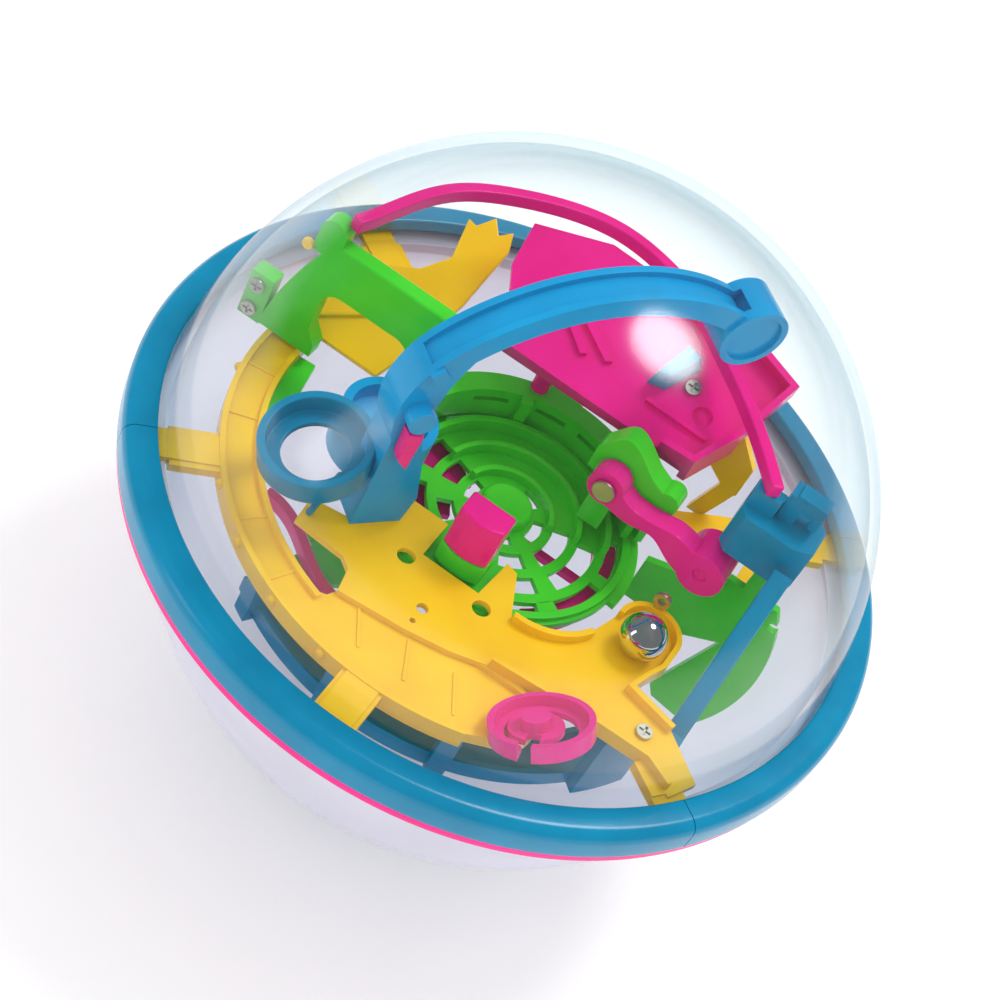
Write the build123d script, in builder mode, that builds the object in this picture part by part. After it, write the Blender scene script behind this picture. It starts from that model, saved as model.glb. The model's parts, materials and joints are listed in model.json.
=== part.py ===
"""Ball maze puzzle: a clear sphere held by a flat band, with a course of coloured tracks inside.

Millimetres. The origin is the centre of the sphere. +Z runs along the axis of the band,
towards the upper dome. X and Y are the symmetry axes of the four frame arms.
"""
from build123d import *
import os
from math import asin, cos, degrees, radians, sin

os.makedirs("parts", exist_ok=True)

# ---- driving dimensions ----------------------------------------------------------------------
SPHERE_R = 61.0            # outside of the clear domes
DOME_WALL = 1.8
RIM_R = 62.8               # the flange on the rim of each dome
RIM_T = 1.4
RIM_GAP = 0.1              # half of the gap between the two rims
BAND_R = 66.5              # outside of the blue band
BAND_IN = SPHERE_R + 0.05
BAND_TOP = 4.0
BAND_STEP = -2.0           # blue above, magenta below
BAND_BOTTOM = -4.0
GROOVE_R = RIM_R + 0.1
GROOVE_H = 1.6
LOWER_BAND_R = 66.1
ARM_ANGLE = 35.5           # the arms and the band joints stand at this angle off the X axis
SEAM = 0.06                # half of the gap between two band segments

FLOOR_T = 1.2              # thickness of a moulded track floor
TRACK_OUT = 50.5           # yellow ring track
TRACK_IN = 43.5
RAIL_W = 1.0
RAIL_H = 1.0
SKIRT = 2.6                # depth of the outer skirt below the track floor
ARM_W = 8.0
TONGUE_T = 1.6             # the arm's end, pinched between the dome rims
TONGUE_W = 6.0
TONGUE_R = 62.6
LIP_H = 1.8                # low walls of the ball lane

BALL_R = 4.0
BALL_POS = (30.9, -13.3)

BOWL_Y = -2.0              # centre of the round green grating
BOWL_R = 24.5
BOWL_T = 2.2
TERRACE_IN = 20.5
TERRACE_TOP = 6.2

BRIDGE_Y = -0.7
BRIDGE_T = 3.2
BRIDGE_TOP = 25.5

DECK_SLOPE = 22.9          # degrees, rising towards +Y
DECK_FRONT = (11.0, 18.5)  # y and z of the deck's front edge
DECK_T = 1.6

RAIL_Z = 30.0              # height of the long pink guide rail
RAIL_SECTION = (2.2, 2.6)

ARCH_TURN = 230.3          # direction of the blue arch's foot, degrees about Z
ARCH_R = 41.8
ARCH_CENTRE = (-1.5, 11.7)
ARCH_T = 3.8
ARCH_W = 6.8
POD_CENTRE = (-22.4, -12.2)  # the dish moulded onto the arch's foot
POD_R = 8.2
POD_LOW = 3.6
POD_H = 8.8

PIVOT = (12.2, 14.5)       # x and z of the lever's pin
PIN_R = 1.5
PIN_CLEAR = 0.05
DRUM = (32.7, 10.6)        # x and z of the round weight at the lever's end
DRUM_R = 4.2

LOWER_Z = -17.5            # floor of the lower blue track


def polar(radius, angle, centre=(0, 0)):
    """Plan point at a radius and an angle in degrees about a centre."""
    return (centre[0] + radius * cos(radians(angle)), centre[1] + radius * sin(radians(angle)))


def sector(inner, outer, start, end, centre=(0, 0)):
    """Plan sketch of the part of a ring between two radii and two angles."""
    with BuildSketch(mode=Mode.PRIVATE) as face:
        with BuildLine():
            far = CenterArc(centre, outer, start, end - start)
            near = CenterArc(centre, inner, start, end - start)
            Line(far @ 0, near @ 0)
            Line(far @ 1, near @ 1)
        make_face()
    return face.sketch


def outline(*points):
    """Plan sketch of a closed polygon."""
    with BuildSketch(mode=Mode.PRIVATE) as face:
        with BuildLine():
            Polyline(*points, close=True)
        make_face()
    return face.sketch


def upright(angle, origin=(0, 0, 0)):
    """Vertical plane whose first axis points at an angle about Z and whose second axis is +Z."""
    along = (cos(radians(angle)), sin(radians(angle)), 0)
    normal = (sin(radians(angle)), -cos(radians(angle)), 0)
    return Plane(origin=origin, x_dir=along, z_dir=normal)


def radial_plane(radius, angle, height=0):
    """Level plane at a radius and an angle, whose first axis points away from the centre."""
    return Plane(origin=(*polar(radius, angle), height), x_dir=(*polar(1, angle), 0), z_dir=(0, 0, 1))


def save(builder, name):
    """Label a finished piece and write its STEP file."""
    builder.part.label = name
    export_step(builder.part, f"parts/{name}.step")


ARM_ANGLES = (ARM_ANGLE, 180 - ARM_ANGLE, 180 + ARM_ANGLE, -ARM_ANGLE)
TAB_ANGLES = ARM_ANGLES + (-90,)

# ---- the two clear domes ---------------------------------------------------------------------
for name, side in (("upper_dome", 1), ("lower_dome", -1)):
    inner_r = SPHERE_R - DOME_WALL
    start_out = degrees(asin((RIM_GAP + RIM_T) / SPHERE_R))
    start_in = degrees(asin(RIM_GAP / inner_r))
    with BuildPart() as dome:
        with BuildSketch(Plane.XZ):
            with BuildLine():
                skin = CenterArc((0, 0), SPHERE_R, start_out, 90 - start_out)
                hollow = CenterArc((0, 0), inner_r, start_in, 90 - start_in)
                Line(skin @ 1, hollow @ 1)
                Polyline(skin @ 0, (RIM_R, RIM_GAP + RIM_T), (RIM_R, RIM_GAP), hollow @ 0)
            make_face()
            if side < 0:
                mirror(about=Plane.XZ, mode=Mode.REPLACE)
        revolve(axis=Axis.Z)
        for angle in TAB_ANGLES:
            with BuildSketch(radial_plane(58, angle)):
                with Locations((3, 0)):
                    Rectangle(6, TONGUE_W + 0.4)
            extrude(amount=side * (TONGUE_T / 2 + 0.1), mode=Mode.SUBTRACT)
    save(dome, name)

# ---- the band: four blue segments over one magenta ring --------------------------------------
segments = (
    ("band_right", -ARM_ANGLE, ARM_ANGLE),
    ("band_back", ARM_ANGLE, 180 - ARM_ANGLE),
    ("band_left", 180 - ARM_ANGLE, 180 + ARM_ANGLE),
    ("band_front", 180 + ARM_ANGLE, 360 - ARM_ANGLE),
)
seam_angle = degrees(SEAM / BAND_R)
for name, start, end in segments:
    with BuildPart() as segment:
        with BuildSketch(upright(start + seam_angle)) as profile:
            with BuildLine():
                Polyline(
                    (BAND_IN, BAND_TOP),
                    (BAND_R, BAND_TOP),
                    (BAND_R, BAND_STEP),
                    (GROOVE_R, BAND_STEP),
                    (GROOVE_R, GROOVE_H),
                    (BAND_IN, GROOVE_H),
                    close=True,
                )
            make_face()
            outer_corners = profile.vertices().group_by(Axis.X)[-1].sort_by(Axis.Y)
            fillet(outer_corners[-1], 2.2)
            fillet(profile.vertices().group_by(Axis.X)[-1].sort_by(Axis.Y)[0], 0.7)
        revolve(axis=Axis.Z, revolution_arc=end - start - 2 * seam_angle)
    save(segment, name)

with BuildPart() as lower_band:
    with BuildSketch(Plane.XZ) as profile:
        with BuildLine():
            Polyline(
                (BAND_IN, -GROOVE_H),
                (GROOVE_R, -GROOVE_H),
                (GROOVE_R, BAND_STEP),
                (LOWER_BAND_R, BAND_STEP),
                (LOWER_BAND_R, BAND_BOTTOM),
                (BAND_IN, BAND_BOTTOM),
                close=True,
            )
        make_face()
        fillet(profile.vertices().group_by(Axis.X)[-1].sort_by(Axis.Y)[0], 0.8)
    revolve(axis=Axis.Z)
    with BuildSketch(Plane.XY.offset(BAND_BOTTOM)):
        with PolarLocations(LOWER_BAND_R, 8, start_angle=ARM_ANGLE + 8):
            Rectangle(1.4, 3.0)
    extrude(amount=0.9, mode=Mode.SUBTRACT)
save(lower_band, "lower_band")

# ---- yellow ring track -----------------------------------------------------------------------
TRACK_START, TRACK_END = 139, 290
pad_edge = (
    (-16, -41), (-13, -40), (-12, -37.8), (0, -36.2), (8, -34.6), (15, -32.9), (19.6, -33.3),
)
with BuildPart() as ring_track:
    with BuildSketch(Plane.XY.offset(-FLOOR_T)):
        add(sector(TRACK_IN, TRACK_OUT, TRACK_START, TRACK_END))
        with BuildLine():
            Polyline(*pad_edge)
            ThreePointArc(pad_edge[-1], (25.4, -37.4), (23.6, -44.0))
            Polyline((23.6, -44.0), (17, -47.4), (0, -50), (-16, -47.6), pad_edge[0])
        make_face()
    extrude(amount=FLOOR_T)
    with BuildSketch(Plane.XY.offset(-SKIRT)):
        add(sector(TRACK_OUT - RAIL_W, TRACK_OUT, TRACK_START, TRACK_END))
    extrude(amount=SKIRT + RAIL_H)
    with BuildSketch():
        add(sector(TRACK_IN, TRACK_IN + RAIL_W, TRACK_START, 252))
    extrude(amount=RAIL_H)
    with BuildSketch():
        with BuildLine():
            Line((12.4, -33.4), pad_edge[-1])
            ThreePointArc(pad_edge[-1], (25.4, -37.4), (23.6, -44.0))
            Line((23.6, -44.0), (17, -47.4))
            Line((17, -47.4), (16.6, -46.5))
            Line((16.6, -46.5), (22.8, -43.2))
            ThreePointArc((22.8, -43.2), (24.4, -37.8), (19.4, -34.3))
            Line((19.4, -34.3), (12.6, -34.3))
            Line((12.6, -34.3), (12.4, -33.4))
        make_face()
    extrude(amount=RAIL_H)
    for angle in (180 - ARM_ANGLE, 180 + ARM_ANGLE, -90):
        width = ARM_W - 0.5 if angle == -90 else ARM_W
        with BuildSketch(radial_plane(TRACK_OUT - 0.5, angle, -FLOOR_T)):
            Rectangle(58.6 - TRACK_OUT + 0.5, width, align=(Align.MIN, Align.CENTER))
        extrude(amount=FLOOR_T + 0.4)
        with BuildSketch(radial_plane(TRACK_OUT - 0.5, angle, -TONGUE_T / 2)):
            Rectangle(TONGUE_R - TRACK_OUT + 0.5, TONGUE_W, align=(Align.MIN, Align.CENTER))
        extrude(amount=TONGUE_T)
    for x, turn in ((-6, -60), (3, -66), (12, -62)):
        slant = (cos(radians(turn)), sin(radians(turn)), 0)
        with BuildSketch(Plane(origin=(x, -41.6, 0), x_dir=slant, z_dir=(0, 0, 1))):
            Rectangle(8, 0.5)
        extrude(amount=0.3)
    for angle in (172, 190, 204, 230, 244):
        with BuildSketch():
            add(sector(TRACK_IN + 0.2, TRACK_OUT - 0.2, angle, angle + 0.6))
        extrude(amount=0.3)
save(ring_track, "ring_track")

# ---- yellow lane plate with the ball's pocket ------------------------------------------------
plate_back = (
    (-25, -26.5), (-17, -25), (-15.5, -14), (-5.4, -14), (-5.4, -22.6), (5.4, -22.6),
    (6.2, -13.6), (8.4, -14.2), (12, -22.8),
)
neck_left = ((12, -22.8), (18.6, -21.2), (23.4, -16.0))
neck_left_inside = ((12.4, -23.8), (19.3, -22.1), (24.3, -16.6))
pocket = ((25.4, -9.4), (30.8, -3.4), (37.0, -9.6))
pocket_inside = ((26.4, -9.3), (30.8, -4.4), (36.0, -9.7))
neck_right = ((37.0, -9.6), (36.9, -13.6), (35.4, -17.4), (34.4, -20.8), (43, -23))
neck_right_inside = ((36.0, -9.7), (35.9, -13.8), (34.4, -17.7), (33.2, -21.7), (42.7, -24))
plate_front = (
    (43, -23), (50.6, -29.2), (48.0, -34.6), (42, -31.6), (33, -31.9), (22, -33.1),
    (13.6, -33.9), (7.5, -36), (0, -37.6), (-12, -39), (-13, -34.2), (-15, -32.6), (-24.5, -32),
    (-25, -26.5),
)
front_lip = (
    (47.2, -33.2), (42, -30.6), (33, -30.9), (22, -32.1), (13.6, -32.9), (13.6, -33.9),
    (22, -33.1), (33, -31.9), (42, -31.6), (46.8, -34.0),
)
with BuildPart() as lane_plate:
    with BuildSketch():
        with BuildLine():
            Polyline(*plate_back)
            ThreePointArc(*neck_left)
            Line(neck_left[-1], pocket[0])
            ThreePointArc(*pocket)
            Polyline(*neck_right)
            Polyline(*plate_front)
        make_face()
    extrude(amount=FLOOR_T)
    with BuildSketch(Plane.XY.offset(FLOOR_T)):
        with BuildLine():
            ThreePointArc(*neck_left)
            Line(neck_left[-1], neck_left_inside[-1])
            ThreePointArc(*neck_left_inside)
            Line(neck_left_inside[0], neck_left[0])
        make_face()
    extrude(amount=LIP_H)
    with BuildSketch(Plane.XY.offset(FLOOR_T)):
        with BuildLine():
            ThreePointArc(*pocket)
            Polyline(*neck_right)
            Line(neck_right[-1], neck_right_inside[-1])
            Polyline(*neck_right_inside)
            ThreePointArc(*pocket_inside)
            Line(pocket_inside[0], pocket[0])
        make_face()
    extrude(amount=LIP_H)
    with BuildSketch(Plane.XY.offset(FLOOR_T)):
        add(outline(*front_lip))
    extrude(amount=LIP_H)
    with BuildSketch():
        for x, y, radius in ((-7.3, -24.9, 1.6), (7.3, -24.9, 1.6), (0, -32, 1.0), (0, -35.2, 0.5)):
            with Locations((x, y)):
                Circle(radius)
    extrude(amount=FLOOR_T, mode=Mode.SUBTRACT)
    with BuildSketch(radial_plane(52, -ARM_ANGLE, -TONGUE_T / 2)):
        Rectangle(TONGUE_R - 52, TONGUE_W, align=(Align.MIN, Align.CENTER))
    extrude(amount=TONGUE_T)
    with BuildSketch(radial_plane(52, -ARM_ANGLE)):
        Rectangle(6.4, TONGUE_W, align=(Align.MIN, Align.CENTER))
    extrude(amount=FLOOR_T)
save(lane_plate, "lane_plate")

with BuildPart() as steel_ball:
    with Locations((*BALL_POS, FLOOR_T + BALL_R + 0.02)):
        Sphere(BALL_R)
save(steel_ball, "steel_ball")

# ---- round green grating with its slots ------------------------------------------------------
BOWL = (0, BOWL_Y)
SLOT_ROWS = (                 # inner radius, outer radius, and the pairs of angles of each slot
    (5.4, 7.2, ((160, 200), (-22, 24), (-76, -50), (50, 84))),
    (9.0, 12.0, ((160, 188), (-28, 22), (-66, -42), (212, 236))),
    (13.8, 17.0, ((160, 186), (200, 226), (-28, 16), (-62, -40))),
    (18.8, 20.8, ((-34, -6), (2, 26), (-66, -44), (66, 100), (120, 150))),
)
BOSS_H = 1.2
ring_edges = ((3.6, 4.8), (7.5, 8.5), (12.4, 13.4), (17.3, 18.5), (21.2, 22.6))
with BuildPart() as round_grating:
    with BuildSketch(Plane.XY.offset(-BOWL_T)):
        with Locations(BOWL):
            Circle(23.2)
        add(sector(0.5, BOWL_R, -8, 188, BOWL))
    extrude(amount=FLOOR_T)
    with BuildSketch(Plane.XY.offset(-BOWL_T)):
        for inner, outer, slots in SLOT_ROWS:
            for start, end in slots:
                add(sector(inner, outer, start, end, BOWL))
    extrude(amount=FLOOR_T, mode=Mode.SUBTRACT)
    with BuildSketch(Plane.XY.offset(FLOOR_T - BOWL_T)):
        for inner, outer in ring_edges:
            with Locations(BOWL):
                Circle(outer)
                Circle(inner, mode=Mode.SUBTRACT)
    extrude(amount=BOWL_T - FLOOR_T)
    for index, (inner, outer) in enumerate(ring_edges[1:-1]):
        with BuildSketch(Plane.XY.offset(-BOWL_T)):
            add(sector(inner, outer, 12, 168, BOWL))
        extrude(amount=BOWL_T + 0.8 + 0.5 * index)
    with BuildSketch(Plane.XY.offset(-BOWL_T)):
        with Locations(BOWL):
            Circle(4.6)
    extrude(amount=BOWL_T + BOSS_H)
    boss_top = round_grating.faces().sort_by_distance((*BOWL, BOSS_H))[0]
    fillet(boss_top.edges(), 0.9)
save(round_grating, "round_grating")

with BuildPart() as terrace:
    with BuildSketch():
        add(sector(TERRACE_IN, TERRACE_IN + 1.4, 28, 164, BOWL))
        add(sector(BOWL_R - 1.4, BOWL_R, 28, 164, BOWL))
    extrude(amount=TERRACE_TOP - FLOOR_T)
    with BuildSketch(Plane.XY.offset(TERRACE_TOP - FLOOR_T)):
        add(sector(TERRACE_IN, BOWL_R, 28, 164, BOWL))
        with Locations((-5.0, 24.6)):
            Circle(4.9)
            SlotCenterToCenter(3.6, 2.4, mode=Mode.SUBTRACT)
    extrude(amount=FLOOR_T)
    with BuildSketch(Plane.XY.offset(3.4)):
        add(sector(TERRACE_IN - 0.1, TERRACE_IN + 1.5, 58, 84, BOWL))
        add(sector(TERRACE_IN - 0.1, TERRACE_IN + 1.5, 92, 108, BOWL))
        add(sector(TERRACE_IN - 0.1, TERRACE_IN + 1.5, 122, 140, BOWL))
    extrude(amount=0.9, mode=Mode.SUBTRACT)
    with BuildSketch():
        add(sector(TERRACE_IN - 1.6, TERRACE_IN, 111, 117, BOWL))
    extrude(amount=TERRACE_TOP)
save(terrace, "terrace")

# ---- green bridge standing over the track ----------------------------------------------------
with BuildPart() as bridge:
    with BuildSketch(Plane.XZ.offset(-BRIDGE_Y - BRIDGE_T)) as bridge_face:
        with BuildLine():
            ThreePointArc((-52.6, RAIL_H), (-50.6, 12), (-45, BRIDGE_TOP))
            Polyline((-45, BRIDGE_TOP), (-19, BRIDGE_TOP), (-19, 0), (-24.2, 0), (-26.5, 13))
            ThreePointArc((-26.5, 13), (-28.4, 15.6), (-31, 16))
            Line((-31, 16), (-40.6, 16))
            ThreePointArc((-40.6, 16), (-43.2, 14.8), (-44, 12.2))
            Polyline((-44, 12.2), (-44, 6.5), (-42, 3.6), (-42, RAIL_H), (-52.6, RAIL_H))
        make_face()
    extrude(amount=BRIDGE_T)
    with Locations((-54.6, BRIDGE_Y + BRIDGE_T / 2, 5.6)):
        Box(4.4, BRIDGE_T, 10.0)
    with Locations((-46.4, BRIDGE_Y + BRIDGE_T / 2, BRIDGE_TOP + 1.5)):
        Cylinder(2.4, BRIDGE_T, rotation=(90, 0, 0))
    with Locations((-46.4, BRIDGE_Y + BRIDGE_T / 2, BRIDGE_TOP - 1)):
        Box(4.8, BRIDGE_T, 5)
    fillet(bridge.edges().filter_by(Axis.X).group_by(Axis.Z)[-1], 0.5)
save(bridge, "bridge")

with BuildPart() as bridge_pin:
    with BuildSketch(Plane.XZ.offset(-BRIDGE_Y - 0.2)):
        with Locations((-49.6, 22.6)):
            Circle(1.0)
    extrude(amount=1.0)
save(bridge_pin, "bridge_pin")

# ---- green hump that carries the lever's pin -------------------------------------------------
HUMP_Y = 4.2
HUMP_T = 4.2
with BuildPart() as hump:
    with BuildSketch(Plane.XZ.offset(-HUMP_Y - HUMP_T)) as hump_face:
        with BuildLine():
            Spline((7.2, 17.5), (11.8, 22.4), (17.2, 18.6), (20.2, 17.0), tangents=[(0.7, 1), (1, -0.5)])
            ThreePointArc((20.2, 17.0), (22.6, 17.4), (23.6, 14.8))
            Polyline((23.6, 14.8), (23.6, 12.6), (14.4, 12.2), (14.4, 1.6))
            Polyline((14.4, 1.6), (10.0, 1.6), (10.0, 12.2), (7.2, 12.8))
            Line((7.2, 12.8), (7.2, 17.5))
        make_face()
        with Locations(PIVOT):
            Circle(PIN_R, mode=Mode.SUBTRACT)
    extrude(amount=HUMP_T)
save(hump, "hump")

with BuildPart() as lever_pin:
    with BuildSketch(Plane.XZ.offset(-HUMP_Y - HUMP_T)):
        with Locations(PIVOT):
            Circle(PIN_R)
    extrude(amount=HUMP_Y + HUMP_T + 0.4)
    with BuildSketch(Plane.XZ.offset(0.4)):
        with Locations(PIVOT):
            Circle(PIN_R + 0.5)
    extrude(amount=0.7)
save(lever_pin, "lever_pin")

LEVER_Y = 3.9
LEVER_T = 4.0
with BuildPart() as lever:
    with BuildSketch(Plane.XZ.offset(-LEVER_Y)):
        with BuildLine():
            Spline((13.5, 17.2), (17.0, 14.4), (24.0, 14.6), (30.0, 14.0), tangents=[(0.8, -1), (1, -0.3)])
            Line((30.0, 14.0), (30.4, 8.0))
            underside = ((30.4, 8.0), (26.2, 9.6), (22.6, 11.6), (19.0, 11.0), (13.6, 11.4))
            Spline(*underside, tangents=[(-1, 0.2), (-1, 0.2)])
            Line((13.6, 11.4), (13.5, 17.2))
        make_face()
        with Locations(PIVOT):
            Circle(3.3)
        with Locations(DRUM):
            Circle(DRUM_R)
        with Locations(PIVOT):
            Circle(PIN_R + PIN_CLEAR, mode=Mode.SUBTRACT)
    extrude(amount=LEVER_T)
    with BuildSketch(Plane.XZ.offset(-LEVER_Y - 3.6)):
        with Locations(DRUM):
            Circle(DRUM_R)
    extrude(amount=3.6)
    with BuildSketch(Plane.XZ.offset(-LEVER_Y + LEVER_T - 0.5)):
        with Locations(DRUM):
            Circle(1.3)
    extrude(amount=0.5, mode=Mode.SUBTRACT)
save(lever, "lever")

# ---- stop tower: a pink block with a bowed front on a green foot -----------------------------
FOOT_H = 4.2
TOWER_H = 13.0


def bowed_block(grow):
    """Plan sketch of a block whose front is a shallow arc."""
    half = 4.1 + grow
    front = -20.2 - grow
    with BuildSketch(mode=Mode.PRIVATE) as face:
        with BuildLine():
            ThreePointArc((-half, front), (0, front - 1.2), (half, front))
            Polyline((half, front), (half, -15.6), (-half, -15.6), (-half, front))
        make_face()
    return face.sketch


with BuildPart() as tower_foot:
    with BuildSketch():
        add(bowed_block(0.2))
    extrude(amount=FOOT_H)
save(tower_foot, "tower_foot")

with BuildPart() as stop_tower:
    with BuildSketch(Plane.XY.offset(FOOT_H)):
        add(bowed_block(0))
    extrude(amount=TOWER_H - FOOT_H)
    fillet(stop_tower.edges().filter_by(Axis.Z), 0.5)
    fillet(stop_tower.faces().sort_by(Axis.Z)[-1].edges(), 0.4)
save(stop_tower, "stop_tower")

# ---- pink ring under the grating -------------------------------------------------------------
with BuildPart() as under_ring:
    with BuildSketch(Plane.XY.offset(-5.6)):
        add(sector(17.6, 21.8, -48, 52, BOWL))
        add(sector(8.4, 21.8, 150, 216, BOWL))
        with Locations(BOWL):
            Circle(3)
        with Locations((10, BOWL_Y), (-6, BOWL_Y)):
            Rectangle(17, 1.6)
    extrude(amount=1.4)
    with BuildSketch(Plane.XY.offset(-4.2)):
        with Locations(BOWL):
            Circle(3)
    extrude(amount=4.2 - BOWL_T)
save(under_ring, "under_ring")

# ---- magenta deck: a sloping tray ------------------------------------------------------------
slope = radians(DECK_SLOPE)
deck_plane = Plane(
    origin=(0, *DECK_FRONT), x_dir=(1, 0, 0), z_dir=(0, -sin(slope), cos(slope))
)
deck_shape = (
    (-15.5, 0), (14.5, 0), (21.6, 0.4), (25.6, 9.8), (28.6, 23), (20.6, 25.6), (8, 26.6), (-11, 26.8),
    (-24.0, 21.6), (-22.8, 13),
)
WALL_T = 1.2
with BuildPart() as deck:
    with BuildSketch(deck_plane) as deck_floor:
        add(outline(*deck_shape))
    extrude(amount=-DECK_T)
    with BuildSketch(deck_plane):
        add(deck_floor.sketch_local)
        offset(deck_floor.sketch_local, amount=-WALL_T, kind=Kind.INTERSECTION, mode=Mode.SUBTRACT)
        add(outline((15, -2), (32, -2), (32, 30), (16, 30), (16, 12)), mode=Mode.INTERSECT)
    extrude(amount=2.6)
    with BuildSketch(deck_plane.offset(-DECK_T)):
        add(outline((-15.5, 0), (21.6, 0.4), (22.2, 1.8), (-15.9, 1.4)))
    extrude(amount=-1.9)
    with BuildSketch(deck_plane.offset(-DECK_T)):
        add(outline((20.2, 0.4), (21.6, 0.4), (25.6, 9.8), (24.2, 9.8)))
    extrude(amount=-4.2)
    with BuildSketch(deck_plane):
        for lift in (0, 4.2):
            near_end = 6.6 + lift / 3
            rib_far = ((lift - 14, 13), (lift - 12.4, 13.4))
            add(outline(*rib_far, (lift - 3.4, near_end), (lift - 4.4, near_end - 0.8)))
        with Locations((15.0, 6.0)):
            Rectangle(12, 0.8)
    extrude(amount=0.9)
    with BuildSketch(deck_plane):
        with Locations((18.2, 9.4)):
            Circle(1.8)
    extrude(amount=-0.8, mode=Mode.SUBTRACT)
    with BuildSketch(Plane.XY.offset(TERRACE_TOP)):
        with Locations((-8, 20.2), (9.5, 19.2)):
            Circle(1.6)
    extrude(amount=20.4 - TERRACE_TOP)
save(deck, "deck")

with BuildPart() as deflector:
    with BuildSketch(deck_plane):
        add(outline((7.2, 8.6), (10.6, 9.4), (13.6, 16.4), (9.4, 17.6)))
    extrude(amount=4.5, taper=8)
save(deflector, "deflector")

# ---- yellow pieces at the back ---------------------------------------------------------------
RAMP_SLOPE = radians(26)
RAMP_T = 1.4
ramp_plane = Plane(
    origin=(0, 3.2, RAIL_H + RAMP_T / cos(RAMP_SLOPE)),
    x_dir=(1, 0, 0),
    z_dir=(0, -sin(RAMP_SLOPE), cos(RAMP_SLOPE)),
)
with BuildPart() as back_ramp:
    with BuildSketch(ramp_plane):
        add(outline(
            (-47.5, 0), (-31, 0), (-28.6, 8), (-26.6, 20), (-26, 33), (-27.4, 36.5), (-29.2, 34.4),
            (-31.4, 37), (-33.4, 33.6), (-35.2, 34), (-33.4, 26), (-36.5, 21), (-44, 16.5), (-46.6, 9),
        ))
    extrude(amount=-RAMP_T)
    with BuildSketch(ramp_plane):
        add(outline((-46.6, 3), (-45.6, 2.4), (-31, 13.6), (-31.6, 14.6)))
    extrude(amount=0.7)
save(back_ramp, "back_ramp")

with BuildPart() as deck_strut:
    with BuildSketch(Plane.XZ.offset(-26)):
        add(outline((19.6, 23.0), (23.0, 23.0), (30.4, 14.4), (30.4, 7.6), (27.6, 7.6), (22.6, 11.0)))
        add(outline((24.4, -1.0), (27.4, -1.0), (30.4, 8.4), (27.4, 9.4)))
    extrude(amount=1.6)
    with BuildSketch(Plane.XY.offset(-1.0)):
        add(outline((18.3, 12.6), (46.4, 27.6), (48.6, 31.2), (45.4, 36.6), (40, 34), (15.8, 15.4)))
        add(outline((38.4, 10.4), (44.4, 10.4), (45.6, 28), (38.4, 28)))
    extrude(amount=1.0)
    with BuildSketch(radial_plane(52, ARM_ANGLE, -TONGUE_T / 2)):
        Rectangle(TONGUE_R - 52, TONGUE_W, align=(Align.MIN, Align.CENTER))
        Rectangle(6.4, ARM_W, align=(Align.MIN, Align.CENTER))
    extrude(amount=TONGUE_T)
save(deck_strut, "deck_strut")

# ---- long pink guide rail --------------------------------------------------------------------
rail_points = (
    (-44.2, 0.9), (-42.3, 6.6), (-39.8, 15), (-36, 22.6), (-28.5, 30), (-20.5, 35.2),
    (-11, 38.2), (-2.0, 37.2), (5.0, 34.4), (10.4, 30.6), (15.1, 26.4), (20.5, 21.6),
    (25.5, 16.6), (30.4, 11.0), (34.9, 5.2),
)
with BuildPart() as guide_rail:
    with BuildLine(Plane.XY.offset(RAIL_Z)) as rail_path:
        Spline(*rail_points)
    with BuildSketch(Plane(origin=rail_path.line @ 0, z_dir=rail_path.line % 0)):
        Rectangle(*RAIL_SECTION)
    sweep()
save(guide_rail, "guide_rail")

# ---- blue stand, post and lower track --------------------------------------------------------
STAND_Z = 16.2
STAND_TOP = 25.0
with BuildPart() as stand:
    with BuildSketch(Plane.XY.offset(STAND_Z)):
        add(outline((31.8, 4.0), (33.4, 2.0), (42.2, 2.0), (45.6, 3.8), (45.6, 9.6), (43.4, 12), (31.8, 12)))
    extrude(amount=STAND_TOP - STAND_Z)
    with BuildSketch():
        with Locations((41.6, 11.2)):
            Rectangle(3.0, 1.6)
    extrude(amount=STAND_Z)
    with BuildSketch(Plane.XY.offset(STAND_TOP)):
        with Locations((34.4, 6.4)):
            Rectangle(4.8, 2.8)
    extrude(amount=RAIL_Z - RAIL_SECTION[1] / 2 - STAND_TOP)
    with BuildSketch(Plane.XY.offset(STAND_TOP)):
        with Locations((38.6, 8.4)):
            Rectangle(3.0, 4.0)
    extrude(amount=5.6)
    with BuildSketch(Plane.XY.offset(STAND_TOP + 3.2)):
        with Locations((41.0, 8.2)):
            Rectangle(5.4, 3.4)
    extrude(amount=3.0)
    with BuildSketch(Plane.XY.offset(STAND_TOP + 1.4)):
        with Locations((42.9, 8.2)):
            Rectangle(1.6, 3.4)
    extrude(amount=2.0)
save(stand, "stand")

strut_top = Vector(43.4, 2.0, STAND_TOP - 3)
strut_foot = Vector(43.8, -21.0, -1.0)
with BuildPart() as right_post:
    with BuildSketch(Plane(origin=strut_foot, x_dir=(1, 0, 0), z_dir=strut_top - strut_foot)):
        Rectangle(3.3, 2.6)
    extrude(amount=(strut_top - strut_foot).length - 1.9)
    fillet(right_post.edges().filter_by(lambda edge: edge.length > 20), 0.4)
    with BuildSketch(Plane.XY.offset(-1.8)):
        with Locations((43.8, -23.6)):
            Rectangle(3.3, 7.0)
    extrude(amount=1.8)
save(right_post, "right_post")

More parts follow.
